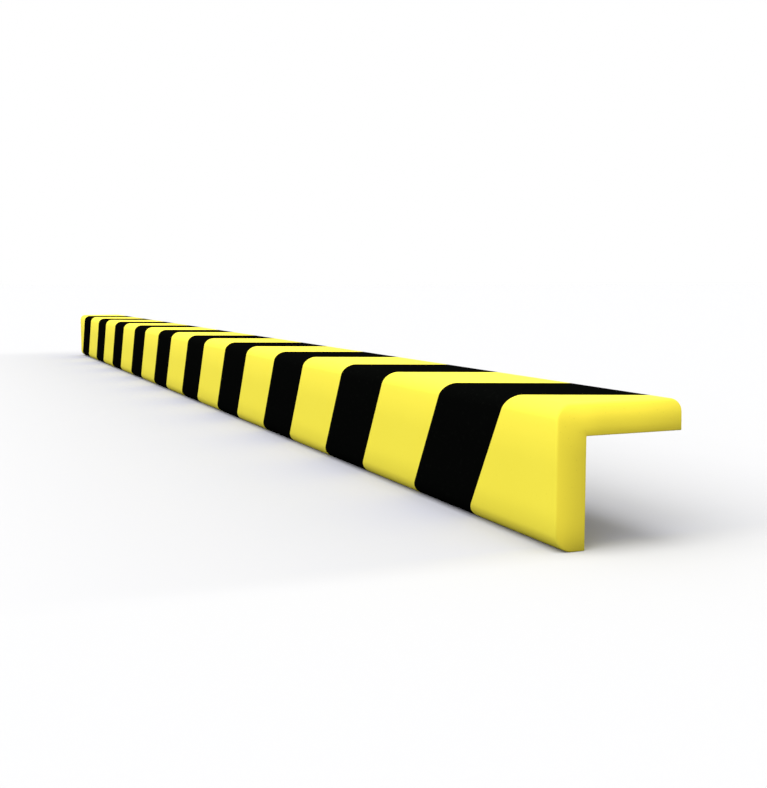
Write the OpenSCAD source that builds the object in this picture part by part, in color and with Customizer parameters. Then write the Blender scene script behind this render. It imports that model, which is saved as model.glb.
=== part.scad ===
// Impact protection strip: an L-shaped edge guard moulded in one piece from soft foam,
// with slanted black warning bands printed over its outer faces.
// The origin lies at mid-length on the line where the two inner faces meet. X runs along
// the strip, the top leg reaches to +Y, the front leg hangs to -Z. All sizes in millimetres.

/* [Profile] */
// Length of the strip
strip_length = 1000; // [300:10:2000]
// Height of the front leg, measured over the outside
front_leg = 45; // [32:1:80]
// Width of the top leg, measured over the outside
top_leg = 45; // [32:1:80]
// Thickness of the foam in both legs
wall = 10; // [8:0.5:20]
// Radius of the long outer corner between the legs
nose_radius = 5; // [2:0.5:8]
// Radius of the outer edge along the front leg's foot
foot_radius = 5.5; // [1:0.5:6]
// Radius of the outer edge along the top leg's tip
tip_radius = 3.5; // [1:0.5:6]

/* [Ends] */
// Depth below the skin from which each end is flat; it falls off in a crown from there out
crown_depth = 5; // [3:0.5:8]
// Radius of that crown
crown_radius = 11.4; // [9:0.1:80]
// Radius that rolls each end over into the skin
end_roll = 1; // [0.5:0.1:2]

/* [Warning bands] */
// Distance from the near end to the first black band, along the outer corner
band_start = 31.3; // [5:0.1:60]
// Distance from one black band to the next
band_pitch = 98.4; // [60:0.1:200]
// Width of a black band, measured along the strip
band_width = 46.2; // [10:0.1:55]
// Slant of the bands on the front leg, in degrees from square across
front_slant = 30.5; // [0:0.5:45]
// Slant of the bands on the top leg, in degrees from square across
top_slant = 25; // [0:0.5:45]
// Depth of the printed skin, which lies flush in the foam
print_depth = 0.4; // [0.2:0.1:0.8]

/* [Hidden] */
$fn = 96;

foam_yellow = [0.96, 0.90, 0.29];
print_black = [0.03, 0.04, 0.03];

// Outer faces, seen from the origin at the inner corner
front_y = -wall;
top_z = wall;
foot_z = wall - front_leg;
tip_y = top_leg - wall;
end_x = strip_length / 2;
// What a cutting shape reaches past the faces that it cuts
overrun = 1;

// The end profile, seen from the very end: the crown starts level with the flat, and the roll's
// middle lies so far back that the roll is tangent to the crown and to the skin
roll_reach = crown_radius - end_roll;
roll_offset = crown_depth - end_roll;
roll_back = crown_radius - sqrt(roll_reach * roll_reach - roll_offset * roll_offset);
roll_joins_crown = crown_depth - crown_radius * roll_offset / roll_reach;

// The bands: slabs whose faces rise by these slopes over each leg
front_slope = tan(front_slant);
top_slope = tan(top_slant);
slab_stretch = sqrt(1 + front_slope * front_slope + top_slope * top_slope);
slab_size = 4 * (front_leg + top_leg);
band_count = ceil((strip_length - band_start) / band_pitch);

// What rounds a square corner at the origin, of a shape that lies to +X and +Y
module corner_waste(radius) {
    difference() {
        translate([-overrun, -overrun]) square(radius + overrun);
        translate([radius, radius]) circle(radius);
    }
}

// The outside of the section, with Y across and Z up, drawn a given depth below the skin
module outer_outline(depth = 0) {
    across = top_leg - 2 * depth;
    up = front_leg - 2 * depth;
    translate([front_y + depth, foot_z + depth]) difference() {
        square([across, up]);
        corner_waste(foot_radius - depth);
        translate([0, up]) mirror([0, 1]) corner_waste(nose_radius - depth);
        translate([across, up]) rotate(180) corner_waste(tip_radius - depth);
    }
}

// The L-shaped section, with its two flat inner faces and their sharp inner corner
module wall_section() {
    difference() {
        outer_outline();
        translate([0, foot_z - overrun]) square([tip_y + overrun, overrun - foot_z]);
    }
}

// Stands a section that is drawn in Y and Z along the X axis, centred
module along_strip(length) {
    rotate([90, 0, 90]) linear_extrude(height = length, center = true) children();
}

// Half of the strip seen square to a leg: X along it, and Y the depth below that leg's skin
module half_plan(depth_limit) {
    square([end_x - roll_back, depth_limit]);
    translate([0, crown_depth]) square([end_x, depth_limit - crown_depth]);
    translate([end_x, 0]) {
        translate([-roll_back, end_roll]) circle(end_roll);
        intersection() {
            translate([-crown_radius, crown_depth]) circle(crown_radius);
            translate([-crown_radius, roll_joins_crown])
                square([crown_radius, crown_depth + overrun - roll_joins_crown]);
        }
    }
}

module end_plan(depth_limit) {
    half_plan(depth_limit);
    mirror([1, 0]) half_plan(depth_limit);
}

// Everything that lies within the crowned ends of the front leg, and of the top leg
module within_front_ends() {
    translate([0, front_y, foot_z - overrun])
        linear_extrude(height = front_leg + 2 * overrun) end_plan(top_leg + overrun);
}

module within_top_ends() {
    translate([0, tip_y + overrun, top_z]) rotate([90, 0, 0])
        linear_extrude(height = top_leg + 2 * overrun) mirror([0, 1]) end_plan(front_leg + overrun);
}

// The square bar along the outer corner that the rounded nose takes the place of
module nose_block(extra = 0) {
    translate([-end_x - extra, front_y - extra, top_z - nose_radius])
        cube([strip_length + 2 * extra, nose_radius + extra, nose_radius + extra]);
}

// The rounded nose: the end profile swung through a quarter turn about the middle of the corner
module rounded_nose() {
    translate([0, front_y + nose_radius, top_z - nose_radius]) rotate([0, 90, 0])
        rotate([0, 0, 180]) rotate_extrude(angle = 90) intersection() {
            translate([nose_radius, 0]) rotate(90) end_plan(top_leg);
            translate([0, -end_x]) square([nose_radius, strip_length]);
        }
}

// The whole moulding, before the bands take their share of the skin
module moulding() {
    difference() {
        intersection() {
            along_strip(strip_length) wall_section();
            within_front_ends();
            within_top_ends();
        }
        nose_block(overrun);
    }
    rounded_nose();
}

// The foam that lies below the printed depth
module below_print() {
    along_strip(strip_length + 2 * overrun) outer_outline(print_depth);
}

// One band as a slanted slab; its faces cross the outer corner band_width apart
module band_slab(index) {
    near_edge = end_x - band_start - index * band_pitch;
    translate([near_edge - band_width / 2, front_y, top_z])
        rotate([0, asin(front_slope / slab_stretch), -top_slant])
            cube([band_width / slab_stretch, slab_size, slab_size], center = true);
}

module foam_profile() {
    color(foam_yellow) difference() {
        moulding();
        difference() {
            for (index = [0 : band_count - 1]) band_slab(index);
            below_print();
        }
    }
}

module black_stripes() {
    color(print_black) difference() {
        intersection() {
            moulding();
            for (index = [0 : band_count - 1]) band_slab(index);
        }
        below_print();
    }
}

foam_profile();
black_stripes();
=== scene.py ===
import math

import bmesh
import bpy
import numpy as np
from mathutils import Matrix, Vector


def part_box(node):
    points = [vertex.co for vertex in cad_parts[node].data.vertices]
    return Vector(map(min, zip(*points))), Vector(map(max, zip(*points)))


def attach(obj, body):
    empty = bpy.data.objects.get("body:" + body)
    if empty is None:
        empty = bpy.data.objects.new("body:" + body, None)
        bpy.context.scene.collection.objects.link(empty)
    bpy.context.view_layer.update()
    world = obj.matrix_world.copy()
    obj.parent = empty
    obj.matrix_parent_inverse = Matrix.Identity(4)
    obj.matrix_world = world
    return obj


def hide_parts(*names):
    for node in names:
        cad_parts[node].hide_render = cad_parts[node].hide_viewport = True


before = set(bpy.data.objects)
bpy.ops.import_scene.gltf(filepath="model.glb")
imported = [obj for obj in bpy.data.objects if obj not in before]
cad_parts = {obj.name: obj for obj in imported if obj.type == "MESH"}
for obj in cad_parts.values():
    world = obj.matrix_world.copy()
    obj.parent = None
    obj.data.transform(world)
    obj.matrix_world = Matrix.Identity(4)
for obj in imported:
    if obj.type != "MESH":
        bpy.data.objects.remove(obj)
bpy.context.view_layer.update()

# The foam profile: an L-section edge guard, moulded in one piece from soft yellow foam with a
# closed matte skin, and stuck over a square edge by its two flat inner faces. Its outer edges are
# rounded, and its ends are slightly crowned, with a tight roll where they turn over into the skin.
MM = 0.001
low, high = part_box("foam_profile")
end_x = high.x
front_y, tip_y = low.y, high.y
foot_z, top_z = low.z, high.z
wall = -front_y

nose_radius, foot_radius, tip_radius = 5 * MM, 5.5 * MM, 3.5 * MM
inner_edge_radius = 0.3 * MM
inner_corner_radius = 0.3 * MM
skin_roll, inner_roll = 0.7 * MM, 0.25 * MM
crown_depth, crown_radius = 5 * MM, 11.4 * MM

# How finely a round, the flat of a leg, the thickness of the wall and the roll of an end are divided
round_steps, leg_steps, wall_steps, roll_steps = 18, 22, 14, 8


def straight(start, stop, normal, steps):
    """Stations (y, z, and the outward normal) along a flat of the section, both ends included."""
    share = np.linspace(0, 1, steps + 1)[:, None]
    points = np.array(start) * (1 - share) + np.array(stop) * share
    return np.hstack([points, np.tile(normal, (steps + 1, 1))])


def bend(middle, radius, from_degrees, to_degrees, hollow=False):
    """Stations along a round of the section, with the normal turned inward where it is hollow."""
    angle = np.radians(np.linspace(from_degrees, to_degrees, round_steps + 1))
    out = np.stack([np.cos(angle), np.sin(angle)], 1)
    return np.hstack([np.array(middle) + radius * out, -out if hollow else out])


def joined(*runs):
    """Runs of stations end to end, with each shared end kept once."""
    return np.vstack([runs[0]] + [run[1:] for run in runs[1:]])


def run_lengths(points):
    """The way along a run of points (y, z) from its first one to each."""
    steps = np.linalg.norm(np.diff(points, axis=0), axis=1)
    return np.concatenate([[0], np.cumsum(steps)])


# The outer and the inner side of the section run from the foot to the tip, station by station
foot_edge = bend((front_y + foot_radius, foot_z + foot_radius), foot_radius, -90, -180)
nose = bend((front_y + nose_radius, top_z - nose_radius), nose_radius, 180, 90)
tip_edge = bend((tip_y - tip_radius, top_z - tip_radius), tip_radius, 90, 0)
outer_side = joined(
    foot_edge, straight(foot_edge[-1, :2], nose[0, :2], (-1, 0), leg_steps),
    nose, straight(nose[-1, :2], tip_edge[0, :2], (0, 1), leg_steps), tip_edge,
)
inner_side = joined(
    bend((-inner_edge_radius, foot_z + inner_edge_radius), inner_edge_radius, -90, 0),
    straight((0, foot_z + inner_edge_radius), (0, -inner_corner_radius), (1, 0), leg_steps),
    bend((inner_corner_radius, -inner_corner_radius), inner_corner_radius, 180, 90, hollow=True),
    straight((inner_corner_radius, 0), (tip_y - inner_edge_radius, 0), (0, -1), leg_steps),
    bend((tip_y - inner_edge_radius, inner_edge_radius), inner_edge_radius, -90, 0),
)
foot_face = straight(outer_side[0, :2], inner_side[0, :2], (0, -1), wall_steps)
tip_face = straight(outer_side[-1, :2], inner_side[-1, :2], (1, 0), wall_steps)
section = np.vstack([foot_face[:0:-1], outer_side, tip_face[1:], inner_side[-2:0:-1]])
section_points, section_normals = section[:, :2], section[:, 2:]
skin_stations = len(foot_face) + len(outer_side) + len(tip_face) - 2

# The moulded skin flows softly into its rounds: its shading leans towards each round over the last
# stretch of the flats, and the round itself turns through what is left. The foot, the nose and the
# tip each have their stretch, and the degrees of lean at which their round begins.
soft_rounds = ((7 * MM, 9), (14 * MM, 9.5), (8 * MM, 9))
along = run_lengths(section_points[:skin_stations])
round_places, round_angles, soft_places, soft_angles = [], [], [], []
for turned, (stretch, lean) in enumerate(soft_rounds):
    start = wall_steps + turned * (round_steps + leg_steps)
    begin, end = along[start], along[start + round_steps]
    from_angle, to_angle = 90 * turned, 90 * turned + 90
    round_places += [begin, end]
    round_angles += [from_angle, to_angle]
    soft_places += [begin - stretch, begin, end, end + stretch]
    soft_angles += [from_angle, from_angle + lean, to_angle - lean, to_angle]
shading_lean = np.zeros(len(section))
shading_lean[:skin_stations] = np.radians(
    np.interp(along, round_places, round_angles) - np.interp(along, soft_places, soft_angles))


def out_from_corner(points):
    """How far points (y, z) of the section lie out from the inner corner, across and up."""
    return np.maximum(-points[..., 0], 0), np.maximum(points[..., 1], 0)


def depth_below_skin(points):
    """Depth at points (y, z) of the section: 0 on the outer skin, the wall's thickness inside."""
    across, up = out_from_corner(points)
    squareness = 4.4
    return wall - (across**squareness + up**squareness) ** (1 / squareness)


def share_on_top(points):
    """0 in the front leg and 1 in the top leg, with a soft change round the inner corner."""
    across, up = out_from_corner(points)
    turn = np.arctan2(up, across) / (math.pi / 2)
    return turn**2 * (3 - 2 * turn)


def end_fall(points):
    """How far the crowned end lies behind its flat, at points (y, z) of the section."""
    reach = np.maximum(crown_depth - depth_below_skin(points), 0)
    return crown_radius - np.sqrt(crown_radius**2 - reach**2)


# The soft ends are shaded as if they leaned out towards their own edges. The leans of the front leg
# and of the top leg go by the depth below the skin, in millimetres. The tip, the foot and the place
# where the legs meet each add a lean of their own, which fades with the distance.
front_leg_depths, front_leg_leans = (5, 10), (0, 0.32)
top_leg_depths, top_leg_leans = (0, 2.5, 5, 7.5, 10), (0.24, 0.2, 0.18, 0, -0.33)
tip_lean, tip_reach = 0.32, 16 * MM
foot_lean, foot_reach, foot_fade = 0.55, 20 * MM, 5
meeting_lean, meeting_reach = 0.15, 8.5 * MM
meeting_y, meeting_z = -3 * MM, 3 * MM


def nearness(distance, reach):
    """1 at no distance, falling evenly to 0 at the reach."""
    return np.clip(1 - distance / reach, 0, 1)


def end_lean(points):
    """How far, across and up, the shading of the ends leans at points (y, z) of the section."""
    y, z = points.T
    depth, on_top = depth_below_skin(points) / MM, share_on_top(points)
    across = np.interp(depth, front_leg_depths, front_leg_leans) * (1 - on_top)
    up = np.interp(depth, top_leg_depths, top_leg_leans) * on_top
    from_meeting = np.hypot(y - meeting_y, z - meeting_z)
    return (across + tip_lean * nearness(tip_y - y, tip_reach),
            up + meeting_lean * nearness(from_meeting, meeting_reach)
            - foot_lean * nearness(z - foot_z, foot_reach) ** foot_fade)


def ring(x, depth=0.0):
    """One closed ring of corners round the section, at x and a depth below the skin."""
    points = section_points - np.multiply(depth, section_normals.T).T
    return np.column_stack([np.broadcast_to(x, len(points)), points])


# The rings from one end to the other: the roll, the straight skin with its bands, the roll
inward = depth_below_skin(section_points) / wall
end_roll = skin_roll + (inner_roll - skin_roll) * inward
roll_rings = []
for angle in np.radians(np.linspace(90, 0, roll_steps + 1)[:-1]):
    inset = end_roll * (1 - math.cos(angle))
    fall = end_fall(ring(0, inset)[:, 1:])
    roll_rings.append(ring(end_x - fall - end_roll * (1 - math.sin(angle)), inset))
skin_end = end_x - end_fall(section_points) - end_roll

# The warning bands of the next section cut the skin into fields
band_start = 31.3 * MM
band_pitch = 98.4 * MM
band_width = 46.2 * MM
band_count = 10
front_slope = math.tan(math.radians(30.5))
top_slope = math.tan(math.radians(25))
print_depth = 0.3 * MM
cells_per_field = 4

slant = (section_points[:, 1] - top_z) * front_slope + (section_points[:, 0] - front_y) * top_slope
# Over the inner side, which bears no bands, the rows lead evenly back from the tip to the foot
inner_run = np.vstack([section_points[skin_stations - 1:], section_points[:1]])
inner_along = run_lengths(inner_run)
slant[skin_stations:] = np.interp(
    inner_along[1:-1], inner_along[[0, -1]], slant[[skin_stations - 1, 0]])

field_edges = [skin_end]
for index in range(band_count):
    near_edge = end_x - band_start - index * band_pitch + slant
    field_edges += [near_edge, near_edge - band_width]
field_edges.append(-skin_end)

skin_x = [skin_end]
for near, far in zip(field_edges, field_edges[1:]):
    skin_x += [near + (far - near) * step / cells_per_field for step in range(1, cells_per_field + 1)]

mirror = np.array([-1, 1, 1])
rings = roll_rings + [ring(x) for x in skin_x] + [r * mirror for r in reversed(roll_rings)]
lowered = [ring(r[:, 0], print_depth) for r in rings]

band_rows = []
for index in range(band_count):
    first = len(roll_rings) + (2 * index + 1) * cells_per_field
    band_rows.append((first, first + cells_per_field))

# Two faces that meet at more than this many degrees keep a crisp edge between them
crisp_from = 35


class Shell:
    """Gathers the corners and faces of one closed piece, each corner once."""

    def __init__(self):
        self.corners, self.leans, self.faces, self.known = [], [], [], {}

    def corner(self, key, place, lean=0.0):
        """The number of the corner with this key, which is added when it is first asked for."""
        if key not in self.known:
            self.known[key] = len(self.corners)
            self.corners.append(tuple(float(v) for v in place))
            self.leans.append(lean)
        return self.known[key]

    def on_skin(self, row, column):
        column %= len(section)
        return self.corner(("skin", row, column), rings[row][column], shading_lean[column])

    def below(self, row, column):
        return self.corner(("below", row, column), lowered[row][column], shading_lean[column])

    def cell(self, at, row, column):
        """One face of the skin or of the printed depth, from this row and column to the next."""
        self.faces.append((at(row, column), at(row + 1, column),
                           at(row + 1, column + 1), at(row, column + 1)))

    def rim(self, row_a, column_a, row_b, column_b):
        """The narrow wall between the skin and the printed depth, from one corner to the next."""
        self.faces.append((self.on_skin(row_a, column_a), self.on_skin(row_b, column_b),
                           self.below(row_b, column_b), self.below(row_a, column_a)))

    def pocket(self, first_row, last_row):
        """The bottom and the four walls of one band's place."""
        last_column = skin_stations - 1
        for row in range(first_row, last_row):
            for column in range(last_column):
                self.cell(self.below, row, column)
            self.rim(row, 0, row + 1, 0)
            self.rim(row, last_column, row + 1, last_column)
        for column in range(last_column):
            self.rim(first_row, column, first_row, column + 1)
            self.rim(last_row, column, last_row, column + 1)

    def made(self, name):
        """The finished object, with its soft shading and with crisp edges where faces meet."""
        mesh = bpy.data.meshes.new(name)
        mesh.from_pydata(self.corners, [], self.faces)
        work = bmesh.new()
        work.from_mesh(mesh)
        bmesh.ops.recalc_face_normals(work, faces=work.faces)
        work.to_mesh(mesh)
        work.free()
        mesh.shade_smooth()
        mesh.set_sharp_from_angle(angle=math.radians(crisp_from))
        used = [loop.vertex_index for loop in mesh.loops]
        lean = np.array(self.leans)[used]
        across_lean, up_lean = end_lean(np.array(self.corners)[used, 1:])
        ahead, across, up = np.array([normal.vector for normal in mesh.corner_normals]).T
        on_end = np.abs(ahead)
        shading = np.stack([
            ahead, across * np.cos(lean) - up * np.sin(lean) + on_end * across_lean,
            across * np.sin(lean) + up * np.cos(lean) + on_end * up_lean], 1)
        mesh.normals_split_custom_set(
            (shading / np.linalg.norm(shading, axis=1, keepdims=True)).tolist())
        piece = bpy.data.objects.new(name, mesh)
        bpy.context.scene.collection.objects.link(piece)
        return piece


def in_band(row):
    return any(first <= row < last for first, last in band_rows)


foam = Shell()
for row in range(len(rings) - 1):
    for column in range(len(section)):
        if column >= skin_stations - 1 or not in_band(row):
            foam.cell(foam.on_skin, row, column)
for first, last in band_rows:
    foam.pocket(first, last)


def end_cap(shell, row, side):
    """Fills the end inside its innermost ring: a grid of rows from the outer to the inner side."""
    count = len(outer_side)
    edge = rings[row]

    def grid_corner(station, step):
        outer = wall_steps + station
        inner = (2 * wall_steps + 2 * count - 2 - station) % len(section)
        # The grid's border is made of the ring's own corners
        if step == 0:
            return shell.on_skin(row, outer)
        if step == wall_steps:
            return shell.on_skin(row, inner)
        if station == 0:
            return shell.on_skin(row, wall_steps - step)
        if station == count - 1:
            return shell.on_skin(row, outer + step)
        y, z = (edge[outer] + (edge[inner] - edge[outer]) * step / wall_steps)[1:]
        x = side * (end_x - end_fall(np.array([y, z])))
        return shell.corner(("cap", row, station, step), (x, y, z))

    for station in range(count - 1):
        for step in range(wall_steps):
            shell.faces.append((
                grid_corner(station, step), grid_corner(station, step + 1),
                grid_corner(station + 1, step + 1), grid_corner(station + 1, step)))


end_cap(foam, 0, 1)
end_cap(foam, len(rings) - 1, -1)


class Wire:
    """One output of a shader node. Sums and products of wires and numbers add their Math nodes."""

    def __init__(self, finish, socket):
        self.finish, self.socket = finish, socket

    def math(self, operation, first, second):
        node = self.finish.node("ShaderNodeMath", {"operation": operation}, {0: first, 1: second})
        return node.out()

    def __add__(self, other):
        return self.math("ADD", self, other)

    def __radd__(self, other):
        return self.math("ADD", other, self)

    def __sub__(self, other):
        return self.math("SUBTRACT", self, other)

    def __rsub__(self, other):
        return self.math("SUBTRACT", other, self)

    def __mul__(self, other):
        return self.math("MULTIPLY", self, other)

    def __rmul__(self, other):
        return self.math("MULTIPLY", other, self)

    def __gt__(self, limit):
        return self.math("GREATER_THAN", self, limit)

    def or_nothing(self):
        """The wire's own value, and 0 where that is negative."""
        return self.math("MAXIMUM", self, 0.0)

    def root(self):
        return self.math("SQRT", self, 0.0)

    def rise(self, low, high):
        """0 up to low, 1 from high on, and a smooth change between."""
        return self.finish.node("ShaderNodeMapRange", {"interpolation_type": "SMOOTHSTEP"}, {
            "Value": self, "From Min": low, "From Max": high}).out()


class Node:
    """A shader node that hands out its outputs as wires."""

    def __init__(self, finish, node):
        self.finish, self.node = finish, node

    def out(self, name=0):
        return Wire(self.finish, self.node.outputs[name])


class Finish:
    """The node tree of one material or of the world."""

    def __init__(self, tree):
        self.tree = tree
        tree.nodes.clear()

    def node(self, kind, settings=None, sockets=None):
        """Adds a node: its settings first, then the value or the wire of each named socket."""
        made = self.tree.nodes.new(kind)
        for name, value in (settings or {}).items():
            if name == "stops":
                for extra in value[2:]:
                    made.color_ramp.elements.new(extra[0])
                for stop, (place, colour) in zip(made.color_ramp.elements, value):
                    stop.position, stop.color = place, (*colour, 1)
            else:
                setattr(made, name, value)
        for name, value in (sockets or {}).items():
            if isinstance(value, Wire):
                self.tree.links.new(value.socket, made.inputs[name])
            else:
                made.inputs[name].default_value = value
        return Node(self, made)

    def noise(self, place, scale, detail):
        return self.node("ShaderNodeTexNoise", None, {
            "Vector": place, "Scale": scale, "Detail": detail}).out("Fac")

    def blend(self, share, first, second):
        """One colour going over into the next."""
        first, second = ((*c, 1) if isinstance(c, tuple) else c for c in (first, second))
        return self.node("ShaderNodeMix", {"data_type": "RGBA"}, {
            0: share, 6: first, 7: second}).out(2)


def new_material(name):
    material = bpy.data.materials.new(name)
    material.use_nodes = True
    return material, Finish(material.node_tree)


foam_yellow = (0.925, 0.81, 0.069)
foam_yellow_deep = (0.9, 0.777, 0.061)
foam_yellow_end_painted_shade = (0.94, 0.78, 0.057)
# The colour painted into the pores' hollows as painted shade
pore_painted_shade = (0.5, 0.39, 0.02)
foam_roughness, foam_roughness_spread = 0.66, 0.12
foam_gloss, foam_relief, grain_depth = 0.1, 0.3, 0.1 * MM
# How many spots of each pattern lie along a metre, and the share of the pores that are open
clouds_per_metre, speckles_per_metre, grains_per_metre, pores_per_metre = 24, 620, 1700, 520
open_pores = 0.3
# A pore's painted shade, which darkens its hollow, is full inside the first of these reaches and gone
# outside the second
pore_floor, pore_rim = 0.04, 0.14
# The ends are painted a deeper, more orange yellow as painted shade: how squarely a face looks along
# the strip where it sets in, and where it is full
end_painted_shade_from, end_painted_shade_full = 0.3, 0.95

yellow_foam, finish = new_material("yellow_foam")
spots = finish.node("ShaderNodeTexCoord")
place = spots.out("Object")
# Faint clouds in the colour, a fine speckle, the grain of the mould and scattered pin pores, whose
# hollows are darkened with painted shade
clouds = finish.noise(place, clouds_per_metre, 3)
speckle = finish.noise(place, speckles_per_metre, 2)
grain = finish.noise(place, grains_per_metre, 2)
cells = finish.node("ShaderNodeTexVoronoi", None, {"Vector": place, "Scale": pores_per_metre})
chance = finish.node("ShaderNodeSeparateColor", None, {0: cells.out("Color")}).out()
pores = (1 - cells.out("Distance").rise(pore_floor, pore_rim)) * (chance > 1 - open_pores)
facing = finish.node("ShaderNodeSeparateXYZ", None, {0: spots.out("Normal")}).out("X")
skin_tone = finish.blend(clouds * 0.7 + speckle * 0.3, foam_yellow, foam_yellow_deep)
# Painted shade: the faces that look along the strip, the ends, turn a deeper, more orange yellow
tone = finish.blend((facing * facing).rise(end_painted_shade_from, end_painted_shade_full), skin_tone, foam_yellow_end_painted_shade)
relief = finish.node("ShaderNodeBump", None, {
    "Strength": foam_relief, "Distance": grain_depth,
    "Height": grain * 0.5 + speckle * 0.4 - pores}).out()
# The pores' hollows are darkened in the base colour with painted shade
skin = finish.node("ShaderNodeBsdfPrincipled", None, {
    "Base Color": finish.blend(pores * 0.2, tone, pore_painted_shade),
    "Roughness": foam_roughness + speckle * foam_roughness_spread,
    "Specular IOR Level": foam_gloss, "Normal": relief})
finish.node("ShaderNodeOutputMaterial", None, {"Surface": skin.out()})

foam_piece = foam.made("foam_moulding")
foam_piece.data.materials.append(yellow_foam)
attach(foam_piece, "root")
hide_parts("foam_profile")

# The warning bands: ten fields of flexible black ink, printed on the foam's outer skin and flush
# with it. Each runs slanted from the foot, round the nose and over the top leg to the tip.
bands = Shell()
for first, last in band_rows:
    for row in range(first, last):
        for column in range(skin_stations - 1):
            bands.cell(bands.on_skin, row, column)
    bands.pocket(first, last)

print_black = (0.0016, 0.0018, 0.0016)
print_thin = (0.003, 0.0033, 0.0028)
print_roughness, print_roughness_spread = 0.56, 0.16
print_gloss, print_relief = 0.0, 0.15
# How high the foam's speckle stands where the ink begins to thin, and where it is thinnest
thin_from, thinnest = 0.58, 0.75
black_print, finish = new_material("black_print")
place = finish.node("ShaderNodeTexCoord").out("Object")
# The ink fills the grain of the foam, and is a little thin over its highest spots
speckle = finish.noise(place, speckles_per_metre, 2)
grain = finish.noise(place, grains_per_metre, 2)
relief = finish.node("ShaderNodeBump", None, {
    "Strength": print_relief, "Distance": grain_depth,
    "Height": grain * 0.6 + speckle * 0.4}).out()
ink = finish.node("ShaderNodeBsdfPrincipled", None, {
    "Base Color": finish.blend(speckle.rise(thin_from, thinnest), print_black, print_thin),
    "Roughness": print_roughness + speckle * print_roughness_spread,
    "Specular IOR Level": print_gloss, "Normal": relief})
finish.node("ShaderNodeOutputMaterial", None, {"Surface": ink.out()})

bands_piece = bands.made("black_bands")
bands_piece.data.materials.append(black_print)
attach(bands_piece, "root")
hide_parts("black_stripes")

# The studio: a plain white floor under the foot, which keeps the strip's soft shadow, and white all
# round. Only the camera sees the floor as white, so that it sends little light back to the strip.
floor_reach = 60.0
floor_mesh = bpy.data.meshes.new("studio_floor")
floor_mesh.from_pydata(
    [(-floor_reach, -floor_reach, foot_z), (floor_reach, -floor_reach, foot_z),
     (floor_reach, floor_reach, foot_z), (-floor_reach, floor_reach, foot_z)], [], [(0, 1, 2, 3)])
floor = bpy.data.objects.new("studio_floor", floor_mesh)
bpy.context.scene.collection.objects.link(floor)

# Painted shade: the floor's white is painted a little darker along the strip's sides, over its real
# shadow, with a faint blue that cancels the yellow light the strip throws on it, and past its ends
# that painted shade fades sooner. Its tone goes by the distance from the strip's line, in which the
# way past an end counts several times over.
tone_reach = 0.2
near_turn_x, near_turn_weight = end_x - 12 * MM, 8
far_turn_x, far_turn_weight = -end_x, 2
painted_floor_shade_tones = (
    (0.05, (0.49, 0.493, 0.535)), (0.1, (0.472, 0.477, 0.53)), (0.15, (0.488, 0.492, 0.532)),
    (0.3, (0.508, 0.51, 0.525)), (0.5, (0.532, 0.532, 0.54)), (0.8, (0.56, 0.56, 0.566)),
    (1, (0.566, 0.566, 0.57)))
unseen_grey = (0.08, 0.08, 0.08, 1)
floor_paint, finish = new_material("floor_paint")
place = finish.node("ShaderNodeNewGeometry").out("Position")
apart = finish.node("ShaderNodeSeparateXYZ", None, {0: place})
past_end = (near_turn_weight * (apart.out("X") - near_turn_x).or_nothing()
            + far_turn_weight * (far_turn_x - apart.out("X")).or_nothing())
away = (past_end * past_end + apart.out("Y") * apart.out("Y")).root()
# The ramp paints shade beside the strip into the floor's colour, with a faint blue against the
# strip's yellow light
shade = finish.node("ShaderNodeValToRGB", {"stops": painted_floor_shade_tones}, {
    "Fac": away * (1 / tone_reach)}).out()
seen = finish.node("ShaderNodeLightPath").out("Is Camera Ray")
paint = finish.node("ShaderNodeBsdfDiffuse", None, {"Color": shade})
dim_paint = finish.node("ShaderNodeBsdfDiffuse", None, {"Color": unseen_grey})
coat = finish.node("ShaderNodeMixShader", None, {0: seen, 1: dim_paint.out(), 2: paint.out()})
finish.node("ShaderNodeOutputMaterial", None, {"Surface": coat.out()})
floor.data.materials.append(floor_paint)

white = (1, 1, 1, 1)
backdrop_level, ambient_level = 1.0, 0.87
world = bpy.data.worlds.new("studio_air")
world.use_nodes = True
bpy.context.scene.world = world
finish = Finish(world.node_tree)
seen = finish.node("ShaderNodeLightPath").out("Is Camera Ray")
backdrop = finish.node("ShaderNodeBackground", None, {"Color": white, "Strength": backdrop_level})
ambient = finish.node("ShaderNodeBackground", None, {"Color": white, "Strength": ambient_level})
air = finish.node("ShaderNodeMixShader", None, {0: seen, 1: ambient.out(), 2: backdrop.out()})
finish.node("ShaderNodeOutputWorld", None, {"Surface": air.out()})


def soft_sun(name, light, spread, tilt, heading):
    """A wide soft lamp: tilt is its lean from overhead, heading the side that it comes from."""
    lamp = bpy.data.lights.new(name, "SUN")
    lamp.energy, lamp.angle = math.pi * light, math.radians(spread)
    holder = bpy.data.objects.new(name, lamp)
    holder.rotation_euler = (math.radians(tilt), 0, math.radians(heading))
    bpy.context.scene.collection.objects.link(holder)


soft_sun("overhead_light", light=0.42, spread=30, tilt=0, heading=0)
soft_sun("front_light", light=0.48, spread=60, tilt=40, heading=0)
soft_sun("near_end_light", light=0.24, spread=50, tilt=65, heading=45)

# The camera stands close in front of the near end and looks along the strip, a little downwards,
# with a normal lens.
looks_down, turned_left = 5.768, 66.776
lens = bpy.data.cameras.new("camera")
lens.lens, lens.sensor_width = 50.0, 36.0
lens.clip_start, lens.clip_end = 0.01, 200
camera = bpy.data.objects.new("camera", lens)
camera.location = (0.7743, -0.1839, 0.0455)
camera.rotation_euler = (math.radians(90 - looks_down), 0, math.radians(turned_left))
bpy.context.scene.collection.objects.link(camera)
bpy.context.scene.camera = camera

bpy.context.scene.view_settings.view_transform = "Standard"
